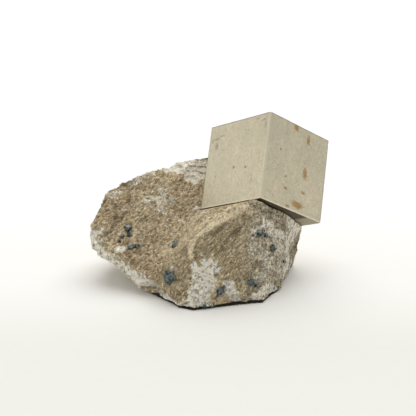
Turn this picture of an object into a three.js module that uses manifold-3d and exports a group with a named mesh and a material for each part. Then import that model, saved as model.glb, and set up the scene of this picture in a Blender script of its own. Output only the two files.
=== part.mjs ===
// A pyrite specimen: one large pyrite cube seated in a broken block of marl, with small dark
// pyrite crystals set in the stone around it. Lengths are millimetres, angles are degrees, and +Z is up.
// The design frame has X to the right, Y to the back and Z = 0 on the surface that the stone stands on.
import * as THREE from "three";
import { ConvexGeometry } from "three/addons/geometries/ConvexGeometry.js";
import { ImprovedNoise } from "three/addons/math/ImprovedNoise.js";
import { TessellateModifier } from "three/addons/modifiers/TessellateModifier.js";
import { mergeVertices } from "three/addons/utils/BufferGeometryUtils.js";
import Module from "manifold-3d";

const wasm = await Module();
wasm.setup();

// ---- driving dimensions ----------------------------------------------------------------------

// The large cube. It isn't quite a cube: its three edges differ by up to a millimetre.
const CUBE_WIDTH = 24.4;
const CUBE_DEPTH = 23.8;
const CUBE_HEIGHT = 25.0;
const CUBE_CENTRE = new THREE.Vector3(16.4, 33.6, 28.4);
const CUBE_LEAN = 33.5; // how far its upright axis leans over
const CUBE_LEAN_TOWARDS = 76.4; // the direction that it leans in, from +X towards +Y
const CUBE_SPIN = -35.6; // its turn about its own upright axis

// The stone is a few overlapping blocks joined together. Each block is what lies behind its
// fracture faces, and a face is [direction, slope, distance]: the compass direction that it
// faces (0 is +X, 90 is +Y), how far it faces up, and its distance from the stone's heart.
const STONE_HEART = new THREE.Vector3(-2, 27, 9);
const STONE_BLOCKS = {
  // The front of the stone, which carries the cube.
  ridge: [
    [-72, 15, 22],
    [-112, 20, 21.1],
    [180, 61, 9.6],
    [180, 45, 7.5],
    [-144, 5, 18.8],
    [-31, 8, 23.5],
    [-15, -18, 25.5],
    [50, 10, 23.3],
    [100, 12, 22],
    [105, -28, 21],
    [180, 0, 12],
    [0, -90, 12],
  ],
  // The broad slope to the left, which overhangs the surface that the stone stands on.
  slab: [
    [-91, 53.5, 7.3],
    [-129, -12, 21.8],
    [172, 5, 29.8],
    [155, 20, 29.9],
    [112, 25, 24.2],
    [100, 12, 22],
    [105, -28, 21],
    [145, -15, 28],
    [-169, -58, 16.1],
    [20, 30, 23.4],
    [0, 0, 17],
    [25, -20, 18],
    [-40, 10, 17],
    [0, -90, 12],
  ],
  // The layered ledge behind the cube.
  ledge: [
    [-80, 31, -1],
    [90, 82, 22.6],
    [170, 40, 18.5],
    [180, 0, 8],
    [10, 20, 23.3],
    [25, -20, 18],
    [100, 12, 22],
    [105, -28, 21],
    [0, -90, 12],
  ],
};
const SHORTEST_EDGE = 0.3; // corners of a block that lie closer than this are one corner
const MESH_SIZE = 3.6; // the longest edge on the stone's surface
const LUMP_HEIGHT = 0.7;
const LUMP_SPACING = 9;

// The small crystals, which stand half out of the stone where a ray meets it that runs back and
// down from the front: [the ray's X, its height where it crosses Y = 0, size, tilt, spin].
const RAY_SLOPE = 30;
const SMALL_CRYSTALS = [
  [-22.4, 29, 1.8, 20, 35],
  [-21.9, 26.6, 1.2, 50, 10],
  [-24, 26, 1, 15, 70],
  [-21.4, 22.1, 1.4, 35, 50],
  [-19.5, 22.4, 1.2, 60, 25],
  [-8.9, 22.4, 1.8, 25, 60],
  [-10.1, 10.4, 2.9, 40, 15],
  [13.8, 24.1, 1.6, 30, 40],
  [17.5, 20.9, 1.6, 55, 20],
  [11.3, 9.3, 1.7, 10, 65],
  [3.2, 6.2, 1.8, 45, 30],
];
const PROUD = 0.1; // how far a small crystal's centre lies under the surface, as a share of its size

const SOCKET_GAP = 0.3; // clearance between a crystal and its socket in the stone

// ---- geometry helpers ------------------------------------------------------------------------

const radians = THREE.MathUtils.degToRad;

/** The unit vector that faces a compass direction and slopes up by an angle. */
function facing(direction, slope) {
  return new THREE.Vector3(
    Math.cos(radians(slope)) * Math.cos(radians(direction)),
    Math.cos(radians(slope)) * Math.sin(radians(direction)),
    Math.sin(radians(slope)),
  );
}

/** The geometry with its shared vertices merged, holding nothing but positions. */
function merged(geometry) {
  const bare = geometry.clone();
  bare.deleteAttribute("normal");
  bare.deleteAttribute("uv");
  return mergeVertices(bare, 1e-3);
}

/** A closed geometry as a manifold-3d solid. */
function solidOf(geometry) {
  const { attributes, index } = merged(geometry);
  return new wasm.Manifold(
    new wasm.Mesh({
      numProp: 3,
      vertProperties: attributes.position.array,
      triVerts: new Uint32Array(index.array),
    }),
  );
}

/** A manifold-3d solid as a geometry. */
function geometryOf(solid) {
  const mesh = solid.getMesh();
  return new THREE.BufferGeometry()
    .setAttribute("position", new THREE.BufferAttribute(mesh.vertProperties, 3))
    .setIndex(new THREE.BufferAttribute(mesh.triVerts, 1));
}

/** A box of these sides, turned and placed. */
function placedBox(sides, turn, centre) {
  const placed = new THREE.Matrix4().compose(centre, turn, new THREE.Vector3(1, 1, 1));
  return new THREE.BoxGeometry(sides.x, sides.y, sides.z).applyMatrix4(placed);
}

// ---- the stone -------------------------------------------------------------------------------

/** The point where three planes meet, or null where two of them run nearly parallel. */
function meeting(a, b, c) {
  const bc = b.normal.clone().cross(c.normal);
  const volume = a.normal.dot(bc);
  if (Math.abs(volume) < 1e-3) return null;
  return bc
    .multiplyScalar(-a.constant)
    .addScaledVector(c.normal.clone().cross(a.normal), -b.constant)
    .addScaledVector(a.normal.clone().cross(b.normal), -c.constant)
    .divideScalar(volume);
}

/** The convex block that lies behind all of its fracture faces. */
function block(faces) {
  const planes = faces.map(([direction, slope, distance]) => {
    const normal = facing(direction, slope);
    return new THREE.Plane(normal, -distance - normal.dot(STONE_HEART));
  });
  const corners = [];
  planes.forEach((a, i) =>
    planes.slice(i + 1).forEach((b, j) =>
      planes.slice(i + j + 2).forEach((c) => {
        const corner = meeting(a, b, c);
        if (!corner || planes.some((plane) => plane.distanceToPoint(corner) > 1e-6)) return;
        if (corners.some((other) => other.distanceTo(corner) < SHORTEST_EDGE)) return;
        corners.push(corner);
      }),
    ),
  );
  return new ConvexGeometry(corners);
}

const noise = new ImprovedNoise();

/** Moves each vertex of the stone by a smooth random amount in each direction. */
function weather(geometry) {
  const position = geometry.attributes.position;
  const point = new THREE.Vector3();
  const swell = (x, y, z) => noise.noise(x, y, z) + 0.5 * noise.noise(2 * x, 2 * y, 2 * z);
  for (let i = 0; i < position.count; i++) {
    point.fromBufferAttribute(position, i);
    const { x, y, z } = point.clone().divideScalar(LUMP_SPACING);
    position.setXYZ(
      i,
      point.x + LUMP_HEIGHT * swell(x, y, z),
      point.y + LUMP_HEIGHT * swell(x + 30, y, z),
      point.z + LUMP_HEIGHT * swell(x, y + 30, z),
    );
  }
  return geometry;
}

/** The stone before its base is cut flat and its sockets are made. */
function roughStone() {
  const joined = Object.values(STONE_BLOCKS)
    .map((faces) => solidOf(block(faces)))
    .reduce((whole, next) => whole.add(next));
  return weather(merged(new TessellateModifier(MESH_SIZE, 12).modify(geometryOf(joined))));
}

// ---- the large cube --------------------------------------------------------------------------

const cubeTurn = new THREE.Quaternion()
  .setFromAxisAngle(new THREE.Vector3(0, 0, 1), radians(CUBE_LEAN_TOWARDS))
  .multiply(new THREE.Quaternion().setFromAxisAngle(new THREE.Vector3(0, 1, 0), radians(CUBE_LEAN)))
  .multiply(new THREE.Quaternion().setFromAxisAngle(new THREE.Vector3(0, 0, 1), radians(CUBE_SPIN)));
const cubeSides = new THREE.Vector3(CUBE_WIDTH, CUBE_DEPTH, CUBE_HEIGHT);

// ---- the small crystals ----------------------------------------------------------------------

const weathered = new THREE.Mesh(roughStone());

/** The sides, turn and centre of each small crystal. */
const crystals = SMALL_CRYSTALS.map(([across, height, size, tilt, spin]) => {
  const outwards = facing(-90, RAY_SLOPE);
  const outside = new THREE.Vector3(across, 0, height).addScaledVector(outwards, 100);
  const [{ point }] = new THREE.Raycaster(outside, outwards.clone().negate()).intersectObject(weathered);
  return {
    sides: new THREE.Vector3(size, size, size),
    turn: new THREE.Quaternion().setFromEuler(
      new THREE.Euler(radians(tilt), radians(tilt / 2), radians(spin)),
    ),
    centre: point.addScaledVector(outwards, -PROUD * size),
  };
});

// ---- the specimen ----------------------------------------------------------------------------

const pyrite = new THREE.MeshStandardMaterial({ color: 0xb9b294, roughness: 0.4, metalness: 0.85 });
const tarnished = new THREE.MeshStandardMaterial({ color: 0x3d4a55, roughness: 0.5, metalness: 0.4 });
const marl = new THREE.MeshStandardMaterial({ color: 0x8d7c5f, roughness: 0.9, metalness: 0 });

const specimen = new THREE.Group();

/** Adds a named sub-part to the specimen. */
function add(name, geometry, material) {
  const mesh = new THREE.Mesh(geometry, material);
  mesh.name = name;
  specimen.add(mesh);
}

/** The hole that a crystal needs in the stone: its own box, larger by the gap on every side. */
function socket({ sides, turn, centre }) {
  return solidOf(placedBox(sides.clone().addScalar(2 * SOCKET_GAP), turn, centre));
}

const largeCube = { sides: cubeSides, turn: cubeTurn, centre: CUBE_CENTRE };
const belowFloor = solidOf(
  placedBox(new THREE.Vector3(200, 200, 100), new THREE.Quaternion(), new THREE.Vector3(0, 0, -50)),
);
const stone = [largeCube, ...crystals].reduce(
  (left, crystal) => left.subtract(socket(crystal)),
  solidOf(weathered.geometry).subtract(belowFloor),
);

add("matrix_rock", geometryOf(stone), marl);
add("pyrite_cube", placedBox(cubeSides, cubeTurn, CUBE_CENTRE), pyrite);
crystals.forEach(({ sides, turn, centre }, i) =>
  add(`small_pyrite_${i + 1}`, placedBox(sides, turn, centre), tarnished),
);

// The origin moves to the middle of the underside, so the specimen stands on Z = 0.
const box = new THREE.Box3().setFromObject(specimen, true);
const middle = box.getCenter(new THREE.Vector3());
specimen.position.set(-middle.x, -middle.y, -box.min.z);

export default specimen;
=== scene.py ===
"""A pyrite specimen: a large pyrite cube seated in a broken block of marl, with small dark crystals.

Shapes are worked out in millimetres in the specimen's own design frame, which has X to the right, Y to
the back and Z = 0 under the stone, and are written out in metres in the row frame.
"""

from __future__ import annotations

import itertools
import logging
import math
from dataclasses import dataclass
from enum import Enum
from typing import Iterable, Sequence

import bpy
import numpy as np
from mathutils import Euler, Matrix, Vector


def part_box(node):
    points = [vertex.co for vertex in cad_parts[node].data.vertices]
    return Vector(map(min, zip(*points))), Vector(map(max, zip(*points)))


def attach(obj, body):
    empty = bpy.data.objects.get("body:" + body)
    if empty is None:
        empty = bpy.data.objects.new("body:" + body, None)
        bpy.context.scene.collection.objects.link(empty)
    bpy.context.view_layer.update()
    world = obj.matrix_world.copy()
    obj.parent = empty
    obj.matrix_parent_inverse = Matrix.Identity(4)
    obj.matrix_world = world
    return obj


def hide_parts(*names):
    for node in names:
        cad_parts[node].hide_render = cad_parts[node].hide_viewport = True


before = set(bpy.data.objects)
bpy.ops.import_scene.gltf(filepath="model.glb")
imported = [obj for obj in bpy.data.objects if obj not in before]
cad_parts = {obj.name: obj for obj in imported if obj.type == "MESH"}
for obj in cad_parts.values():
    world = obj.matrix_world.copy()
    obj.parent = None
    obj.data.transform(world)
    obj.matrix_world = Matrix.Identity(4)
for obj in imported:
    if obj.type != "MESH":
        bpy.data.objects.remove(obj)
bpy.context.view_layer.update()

LOG = logging.getLogger("specimen")

MM = 0.001
FAR = 1e9  # further than any part of the specimen
CUBE_CENTRE_MM = np.array([16.4, 33.6, 28.4])  # the large cube's middle in the design frame
STONE_GRAIN = np.array([-0.667, -0.293, -0.685])  # the direction that the stone's wrinkles run in
SHEETS = np.array([3.0, 2.0])  # how many sheets a texture holds across and up
SHEET_FILL = 0.48  # the half side of a sheet's pattern as a share of the sheet

Array = np.ndarray
Colour = tuple[float, float, float, float]
Material = bpy.types.Material
Mesh = bpy.types.Mesh
Node = bpy.types.Node
Object = bpy.types.Object
Socket = bpy.types.NodeSocket
Tree = bpy.types.NodeTree


# ---- numbers and noise ----


def smoothstep(low: float, high: float, value: Array) -> Array:
    """Rises smoothly from 0 at low to 1 at high, or falls where low is above high.

    Args:
        low: where the result is 0.
        high: where the result is 1.
        value: the values to map.

    Returns:
        The mapped values, from 0 to 1.
    """
    t = np.clip((value - low) / (high - low), 0.0, 1.0)
    return t * t * (3.0 - 2.0 * t)


def unit(vectors: Array) -> Array:
    """The vectors at length 1."""
    return vectors / np.maximum(np.linalg.norm(vectors, axis=-1, keepdims=True), 1e-12)


def line_distance(points: Array, line: Sequence[Sequence[float]]) -> Array:
    """How far each point is from a line.

    Args:
        points: where.
        line: the places that the line runs through, or a single place.

    Returns:
        A distance for each point.
    """
    corners = np.array(line, float)
    distance = np.full(len(points), FAR)
    for start, end in zip(corners, corners[1:] if len(corners) > 1 else corners):
        along = end - start
        share = np.clip(((points - start) @ along) / max(float(along @ along), 1e-9), 0.0, 1.0)
        distance = np.minimum(distance, np.linalg.norm(points - start - share[:, None] * along, axis=1))
    return distance


def on_sheets(square: Array, sheet: Array) -> Array:
    """Lays patterns out on the six sheets of a texture.

    Args:
        square: places on the patterns, from -1 to 1 each way.
        sheet: the column and the row of the sheet that each place is on.

    Returns:
        The texture's coordinates.
    """
    return (square * SHEET_FILL + 0.5 + sheet) / SHEETS


@dataclass(frozen=True)
class Noise:
    """Smooth and cellular random fields that are the same on every run."""

    seed: int = 1

    def _hash(self, cell: Array, salt: int = 0) -> Array:
        """A 32-bit hash of whole-number cells.

        Args:
            cell: the cells.
            salt: a number that gives another hash of the same cells.

        Returns:
            A hash for each cell.
        """
        mask = np.uint64(0xFFFFFFFF)
        c = (cell.astype(np.int64) & 0xFFFFFFFF).astype(np.uint64)
        factors = np.array([374761393, 668265263, 2246822519], dtype=np.uint64)
        h = c[..., 0] * factors[0] + c[..., 1] * factors[1] + c[..., 2] * factors[2]
        h = (h + np.uint64((self.seed * 3266489917 + salt * 40503) & 0xFFFFFFFF)) & mask
        h = ((h ^ (h >> np.uint64(13))) * np.uint64(1274126177)) & mask
        h = ((h ^ (h >> np.uint64(16))) * np.uint64(2654435761)) & mask
        return h ^ (h >> np.uint64(15))

    def _vector(self, cell: Array, salt: int = 0) -> Array:
        """A random vector for each cell, each coordinate from -1 to 1.

        Args:
            cell: the cells.
            salt: a number that gives other vectors for the same cells.

        Returns:
            A vector for each cell.
        """
        h = self._hash(cell, salt)
        bits = np.uint64(1023)
        parts = [(h >> np.uint64(s)) & bits for s in (0, 10, 20)]
        return np.stack(parts, -1).astype(float) / 511.5 - 1.0

    def smooth(self, points: Array) -> Array:
        """Gradient noise of one octave, about -0.8 to 0.8.

        Args:
            points: positions, one lattice cell to a unit.

        Returns:
            A value for each point.
        """
        base = np.floor(points)
        f = points - base
        u = f * f * f * (f * (f * 6.0 - 15.0) + 10.0)
        total = np.zeros(points.shape[:-1])
        for step in itertools.product((0, 1), repeat=3):
            corner = np.array(step)
            gradient = self._vector(base + corner)
            weight = np.prod(np.where(corner, u, 1.0 - u), axis=-1)
            total += weight * np.sum(gradient * (f - corner), axis=-1)
        return total

    def layered(self, points: Array, octaves: int = 4, gain: float = 0.5) -> Array:
        """Several octaves of smooth noise added together.

        Args:
            points: positions, one lattice cell of the first octave to a unit.
            octaves: how many octaves.
            gain: each octave's strength against the one before.

        Returns:
            A value for each point.
        """
        total, strength, scale = np.zeros(points.shape[:-1]), 1.0, 1.0
        for octave in range(octaves):
            total += strength * self.smooth(points * scale + 17.3 * octave)
            strength *= gain
            scale *= 2.03
        return total

    def ridged(self, points: Array, octaves: int = 4) -> Array:
        """Noise with sharp crests.

        Args:
            points: positions, one lattice cell of the first octave to a unit.
            octaves: how many octaves.

        Returns:
            A value for each point, about 0 to 1.
        """
        total, strength, scale = np.zeros(points.shape[:-1]), 0.5, 1.0
        for octave in range(octaves):
            total += strength * (1.0 - np.abs(self.smooth(points * scale + 9.1 * octave)) * 2.2)
            strength *= 0.5
            scale *= 2.1
        return total

    def warp(self, points: Array, amount: float) -> Array:
        """The points pushed about by smooth noise.

        Args:
            points: positions, one lattice cell to a unit.
            amount: how far they move, in the same unit.

        Returns:
            The moved points.
        """
        shifts = [self.layered(points + offset, 2) for offset in (31.7, 57.9, 83.3)]
        return points + amount * np.stack(shifts, -1)

    def cells(self, points: Array) -> tuple[Array, Array]:
        """Cellular noise.

        Args:
            points: positions, one cell to a unit.

        Returns:
            The distance to the nearest feature point, and the height at each position of a facet that runs
            through that point at a random tilt.
        """
        base = np.floor(points)
        nearest = np.full(points.shape[:-1], FAR)
        tilt = np.zeros_like(nearest)
        for step in itertools.product((-1, 0, 1), repeat=3):
            cell = base + np.array(step)
            offset = points - (cell + 0.5 + 0.45 * self._vector(cell))
            distance = np.linalg.norm(offset, axis=-1)
            tilt = np.where(distance < nearest, np.sum(self._vector(cell, 7) * offset, axis=-1), tilt)
            nearest = np.minimum(nearest, distance)
        return nearest, tilt


# ---- the shared frame ----


@dataclass(frozen=True)
class DesignFrame:
    """Turns design millimetres into row metres and back. The large cube ties the two frames together."""

    origin: Array

    @classmethod
    def from_cube(cls) -> DesignFrame:
        """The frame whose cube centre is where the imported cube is."""
        low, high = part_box("pyrite_cube")
        return cls((np.array(low) + np.array(high)) / 2 - CUBE_CENTRE_MM * MM)

    def to_row(self, points: Array) -> Array:
        """Design millimetres as row metres."""
        return np.asarray(points) * MM + self.origin

    def to_design(self, points: Array) -> Array:
        """Row metres as design millimetres."""
        return (np.asarray(points) - self.origin) / MM


FRAME = DesignFrame.from_cube()


def read(items: bpy.types.bpy_prop_collection, key: str, width: int = 1, kind: type = float) -> Array:
    """One property of all the vertices, corners or faces of a mesh.

    Args:
        items: the vertices, corners or faces.
        key: the property's name.
        width: how many numbers it holds.
        kind: the type of the numbers.

    Returns:
        A number or a row of numbers for each item.
    """
    values = np.empty(len(items) * width, dtype=kind)
    items.foreach_get(key, values)
    return values if width == 1 else values.reshape(-1, width)


def node_points(name: str) -> tuple[Array, Array]:
    """The merged mesh of a CAD node.

    Args:
        name: the node.

    Returns:
        Its points in design millimetres, and its triangles.
    """
    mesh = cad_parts[name].data
    mesh.calc_loop_triangles()
    rounded = np.round(FRAME.to_design(read(mesh.vertices, "co", 3)), 3)
    merged, index = np.unique(rounded, axis=0, return_inverse=True)
    triangles = index.reshape(-1)[read(mesh.loop_triangles, "vertices", 3, np.int32)]
    return merged, triangles[(triangles != np.roll(triangles, 1, axis=1)).all(1)]


def link(name: str, data: bpy.types.ID) -> Object:
    """A new object in the scene, at the origin.

    Args:
        name: its name.
        data: the mesh, lamp or camera.

    Returns:
        The object.
    """
    made = bpy.data.objects.new(name, data)
    bpy.context.scene.collection.objects.link(made)
    return made


def make_object(name: str, points: Array, faces: Array, material: Material | None = None) -> Object:
    """A mesh object in the scene, at the origin.

    Args:
        name: its name.
        points: its vertices, in the unit that the caller works in.
        faces: its faces, all with the same number of corners.
        material: its material.

    Returns:
        The object.
    """
    mesh = bpy.data.meshes.new(name)
    corners = faces.shape[1]
    mesh.vertices.add(len(points))
    mesh.vertices.foreach_set("co", np.ascontiguousarray(points, dtype=np.float32).ravel())
    mesh.loops.add(faces.size)
    mesh.loops.foreach_set("vertex_index", np.ascontiguousarray(faces, dtype=np.int32).ravel())
    mesh.polygons.add(len(faces))
    mesh.polygons.foreach_set("loop_start", np.arange(0, faces.size, corners, dtype=np.int32))
    mesh.update(calc_edges=True)
    mesh.validate()
    if material:
        mesh.materials.append(material)
    return link(name, mesh)


def move_points(mesh: Mesh, points: Array) -> None:
    """Moves the mesh's vertices to the points, in row metres."""
    mesh.vertices.foreach_set("co", points.astype(np.float32).ravel())
    mesh.update()


def shade_smooth(piece: Object) -> None:
    """Blends the shading over all of the piece's faces."""
    piece.data.polygons.foreach_set("use_smooth", [True] * len(piece.data.polygons))


def set_attribute(piece: Object, name: str, values: Array) -> None:
    """Stores a value or a vector on each of the piece's vertices.

    Args:
        piece: the object.
        name: the attribute's name.
        values: one number or one vector for each vertex.
    """
    kind, key = ("FLOAT", "value") if values.ndim == 1 else ("FLOAT_VECTOR", "vector")
    made = piece.data.attributes.new(name, kind, "POINT")
    made.data.foreach_set(key, np.ascontiguousarray(values, dtype=np.float32).ravel())


def set_uv(piece: Object, places: Array) -> None:
    """Stores the texture place of each face corner."""
    layer = piece.data.uv_layers.new(name="OFBake")
    layer.data.foreach_set("uv", places.astype(np.float32).ravel())


def bake_modifiers(piece: Object) -> None:
    """Replaces the piece's mesh by what its modifiers make, and removes them.

    Args:
        piece: the object.
    """
    graph = bpy.context.evaluated_depsgraph_get()
    graph.update()
    shaped = piece.evaluated_get(graph)
    made = bpy.data.meshes.new_from_object(shaped, preserve_all_data_layers=True, depsgraph=graph)
    piece.modifiers.clear()
    old, piece.data = piece.data, made
    if old.users == 0:
        bpy.data.meshes.remove(old)


def mesh_arrays(mesh: Mesh) -> tuple[Array, Array]:
    """The points and the normals of a mesh's vertices."""
    return read(mesh.vertices, "co", 3), read(mesh.vertex_normals, "vector", 3)


def seat(piece: Object, slot: str, *nodes: str) -> Object:
    """Ties a finished piece to the model.

    Args:
        piece: the object, in row metres.
        slot: the record's material slot, which is not used.
        nodes: the CAD nodes that it stands for.

    Returns:
        The same object.
    """
    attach(piece, "root")
    if nodes:
        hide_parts(*nodes)
    LOG.info("%s: %d faces", piece.name, len(piece.data.polygons))
    return piece


# ---- shader building ----


class Nodes:
    """A small builder for the nodes of a material, a group or a geometry tree."""

    def __init__(self, tree: Tree) -> None:
        """Works on a node tree."""
        self.tree = tree

    def node(self, kind: str, inputs: dict | None = None, **settings: object) -> Node:
        """Adds a node.

        Args:
            kind: the node's type.
            inputs: a value or an output socket for each input, by name or number.
            settings: the node's own properties.

        Returns:
            The node.
        """
        made = self.tree.nodes.new(kind)
        for key, value in settings.items():
            setattr(made, key, value)
        for key, value in (inputs or {}).items():
            self.feed(made.inputs[key], value)
        return made

    def feed(self, socket: Socket, value: object) -> None:
        """Links an output to the socket, or sets the socket to a value.

        Args:
            socket: the input.
            value: an output socket or a plain value.
        """
        if isinstance(value, Socket):
            self.tree.links.new(value, socket)
        else:
            socket.default_value = value

    def attribute(self, name: str, output: str = "Fac") -> Socket:
        """What the mesh stores under a name: a number, or a vector where the output says so."""
        return self.node("ShaderNodeAttribute", attribute_name=name).outputs[output]

    def mask(self, name: str, share: float) -> Socket:
        """A number stored on the mesh, times a share."""
        return self.times(self.attribute(name), share)

    def place(self) -> Socket:
        """The position on the object."""
        return self.node("ShaderNodeTexCoord").outputs["Object"]

    def maths(self, operation: str, a: object, b: object = 0.0) -> Socket:
        """One sum on two numbers."""
        return self.node("ShaderNodeMath", {0: a, 1: b}, operation=operation).outputs[0]

    def times(self, a: object, b: object) -> Socket:
        """One number times another."""
        return self.maths("MULTIPLY", a, b)

    def plus(self, a: object, b: object) -> Socket:
        """One number and another added up."""
        return self.maths("ADD", a, b)

    def most(self, a: object, b: object) -> Socket:
        """The larger of two numbers."""
        return self.maths("MAXIMUM", a, b)

    def off_half(self, value: object) -> Socket:
        """How far a number is above 0.5."""
        return self.maths("SUBTRACT", value, 0.5)

    def noise(
        self, place: object, scale: object, detail: float = 4.0, rough: float = 0.55, distort: float = 0.0
    ) -> Socket:
        """Smooth noise from 0 to 1."""
        values = {"Scale": scale, "Detail": detail, "Roughness": rough, "Distortion": distort}
        return self.node("ShaderNodeTexNoise", {"Vector": place, **values}).outputs[0]

    def ramp(
        self, value: object, low: float, high: float, to_low: float = 0.0, to_high: float = 1.0
    ) -> Socket:
        """Maps low and high to two other values, smoothly, and holds them beyond."""
        inputs = {"Value": value, "From Min": low, "From Max": high, "To Min": to_low, "To Max": to_high}
        return self.node("ShaderNodeMapRange", inputs, interpolation_type="SMOOTHSTEP").outputs[0]

    def blend(self, share: object, first: object, second: object, mode: str = "MIX") -> Socket:
        """Mixes a share of the second colour into the first.

        Args:
            share: the second colour's share.
            first: a colour.
            second: a colour.
            mode: how they mix.

        Returns:
            The mixed colour.
        """
        inputs = {0: share, 6: first, 7: second}
        settings = {"data_type": "RGBA", "blend_type": mode, "clamp_factor": True}
        return self.node("ShaderNodeMix", inputs, **settings).outputs[2]

    def coats(self, tone: object, *coats: tuple[object, object]) -> Socket:
        """Lays colours over a tone, one after the other.

        Args:
            tone: the colour underneath.
            coats: the share and the colour of each coat.

        Returns:
            The colour on top.
        """
        for share, paint in coats:
            tone = self.blend(share, tone, paint)
        return tone

    def bump(self, shader: Node, height: object, strength: float, depth: float) -> None:
        """Raises the shader's surface by a height pattern.

        Args:
            shader: the shader.
            height: the pattern.
            strength: how strongly it tilts the surface.
            depth: how much a height of 1 is, in metres.
        """
        made = self.node("ShaderNodeBump", {"Strength": strength, "Distance": depth, "Height": height})
        self.feed(shader.inputs["Normal"], made.outputs[0])

    def random(self, kind: str, low: object, high: object, seed: object) -> Socket:
        """A random number or vector for each point of a geometry tree.

        Args:
            kind: FLOAT or FLOAT_VECTOR.
            low: the least value.
            high: the greatest value.
            seed: the seed.

        Returns:
            The number or vector.
        """
        first, last, output = {"FLOAT_VECTOR": (0, 1, 0), "FLOAT": (2, 3, 1)}[kind]
        inputs = {first: low, last: high, "Seed": seed}
        return self.node("FunctionNodeRandomValue", inputs, data_type=kind).outputs[output]

    def scatter(self, surface: Socket, density: object, seed: object, **copies: object) -> Socket:
        """Sets copies of a shape at random places on a surface.

        Args:
            surface: the mesh that they stand on.
            density: how many there are to a square metre.
            seed: the seed of their places.
            copies: the shape, as Instance, and its Rotation and Scale.

        Returns:
            The copies.
        """
        places = {"Mesh": surface, "Density": density, "Seed": seed}
        spread = self.node("GeometryNodeDistributePointsOnFaces", places)
        return self.node("GeometryNodeInstanceOnPoints", {"Points": spread.outputs[0], **copies}).outputs[0]

    def paint(self, copies: Socket, finish: Socket) -> Socket:
        """Turns copies into a plain mesh with a material.

        Args:
            copies: the copies.
            finish: the material.

        Returns:
            The mesh.
        """
        real = self.node("GeometryNodeRealizeInstances", {0: copies})
        inputs = {"Geometry": real.outputs[0], "Material": finish}
        return self.node("GeometryNodeSetMaterial", inputs).outputs[0]


def colour(red: float, green: float, blue: float) -> Colour:
    """An opaque colour from display values, 0 to 255, as linear light.

    Args:
        red: the red value.
        green: the green value.
        blue: the blue value.

    Returns:
        The colour.
    """

    def linear(v: float) -> float:
        """One channel as linear light."""
        v /= 255.0
        return v / 12.92 if v <= 0.04045 else ((v + 0.055) / 1.055) ** 2.4

    return (linear(red), linear(green), linear(blue), 1.0)


def new_tree(name: str, kind: str, inputs: dict[str, str], outputs: dict[str, str]) -> tuple:
    """An empty group of shader nodes or tree of geometry nodes.

    Args:
        name: its name.
        kind: Shader or Geometry.
        inputs: the socket type of each input, by the input's name.
        outputs: the socket type of each output, by the output's name.

    Returns:
        The tree, a builder for it, the sockets that its inputs arrive at, and its output node.
    """
    tree = bpy.data.node_groups.new(name, kind + "NodeTree")
    for way, sockets in (("INPUT", inputs), ("OUTPUT", outputs)):
        for title, sort in sockets.items():
            tree.interface.new_socket(name=title, in_out=way, socket_type="NodeSocket" + sort)
    builder = Nodes(tree)
    given = builder.node("NodeGroupInput").outputs
    return tree, builder, [given[i] for i in range(len(inputs))], builder.node("NodeGroupOutput")


def apply_tree(piece: Object, tree: Tree, values: Iterable[object]) -> None:
    """Puts a geometry tree on the piece.

    Args:
        piece: the object whose mesh the tree takes.
        tree: the tree.
        values: a value for each of the tree's inputs after the mesh, in order.
    """
    modifier = piece.modifiers.new(tree.name, "NODES")
    modifier.node_group = tree
    sockets = [item for item in tree.interface.items_tree if item.in_out == "INPUT"][1:]
    for socket, value in zip(sockets, values):
        modifier[socket.identifier] = value


@dataclass(frozen=True)
class Speckle:
    """Fine mineral grains: a shader group that the finishes use, each at its own strength."""

    name: str = "mineral_grain"
    middle: float = 0.675  # the height that counts as level

    def group(self) -> Tree:
        """The node group, built the first time that it is asked for.

        Returns:
            A group that takes a place, a grain size and a strength, and gives a shade and a height.
        """
        if self.name in bpy.data.node_groups:
            return bpy.data.node_groups[self.name]
        inputs = {"Place": "Vector", "Grains per metre": "Float", "Strength": "Float"}
        outputs = {"Shade": "Float", "Height": "Float"}
        group, n, (place, size, strength), out = new_tree(self.name, "Shader", inputs, outputs)
        cells = n.node("ShaderNodeTexVoronoi", {"Vector": place, "Scale": size, "Randomness": 1.0})
        tone = n.node("ShaderNodeSeparateColor", {0: cells.outputs["Color"]}).outputs[0]
        fine = n.noise(place, n.times(size, 0.6), 6.0, 0.7)
        both = n.plus(n.times(tone, 0.45), n.times(fine, 0.9))
        height = n.times(n.maths("SUBTRACT", both, self.middle), strength)
        n.feed(out.inputs["Shade"], n.plus(height, 1.0))
        n.feed(out.inputs["Height"], height)
        return group

    def add(self, n: Nodes, place: object, per_metre: float, strength: float) -> Node:
        """Places the group in a material.

        Args:
            n: the material's builder.
            place: the coordinates that the grains follow.
            per_metre: how many grains lie along a metre.
            strength: how strong they are.

        Returns:
            The group's node.
        """
        made = n.node("ShaderNodeGroup", node_tree=self.group())
        for key, value in (("Place", place), ("Grains per metre", per_metre), ("Strength", strength)):
            n.feed(made.inputs[key], value)
        return made


def new_material(name: str) -> tuple[Material, Nodes, Node]:
    """A material with one Principled BSDF.

    Args:
        name: its name.

    Returns:
        The material, a builder for it, and the shader.
    """
    material = bpy.data.materials.new(name)
    material.use_nodes = True
    material.node_tree.nodes.clear()
    n = Nodes(material.node_tree)
    shader = n.node("ShaderNodeBsdfPrincipled")
    n.node("ShaderNodeOutputMaterial", {"Surface": shader.outputs[0]})
    return material, n, shader


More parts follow.
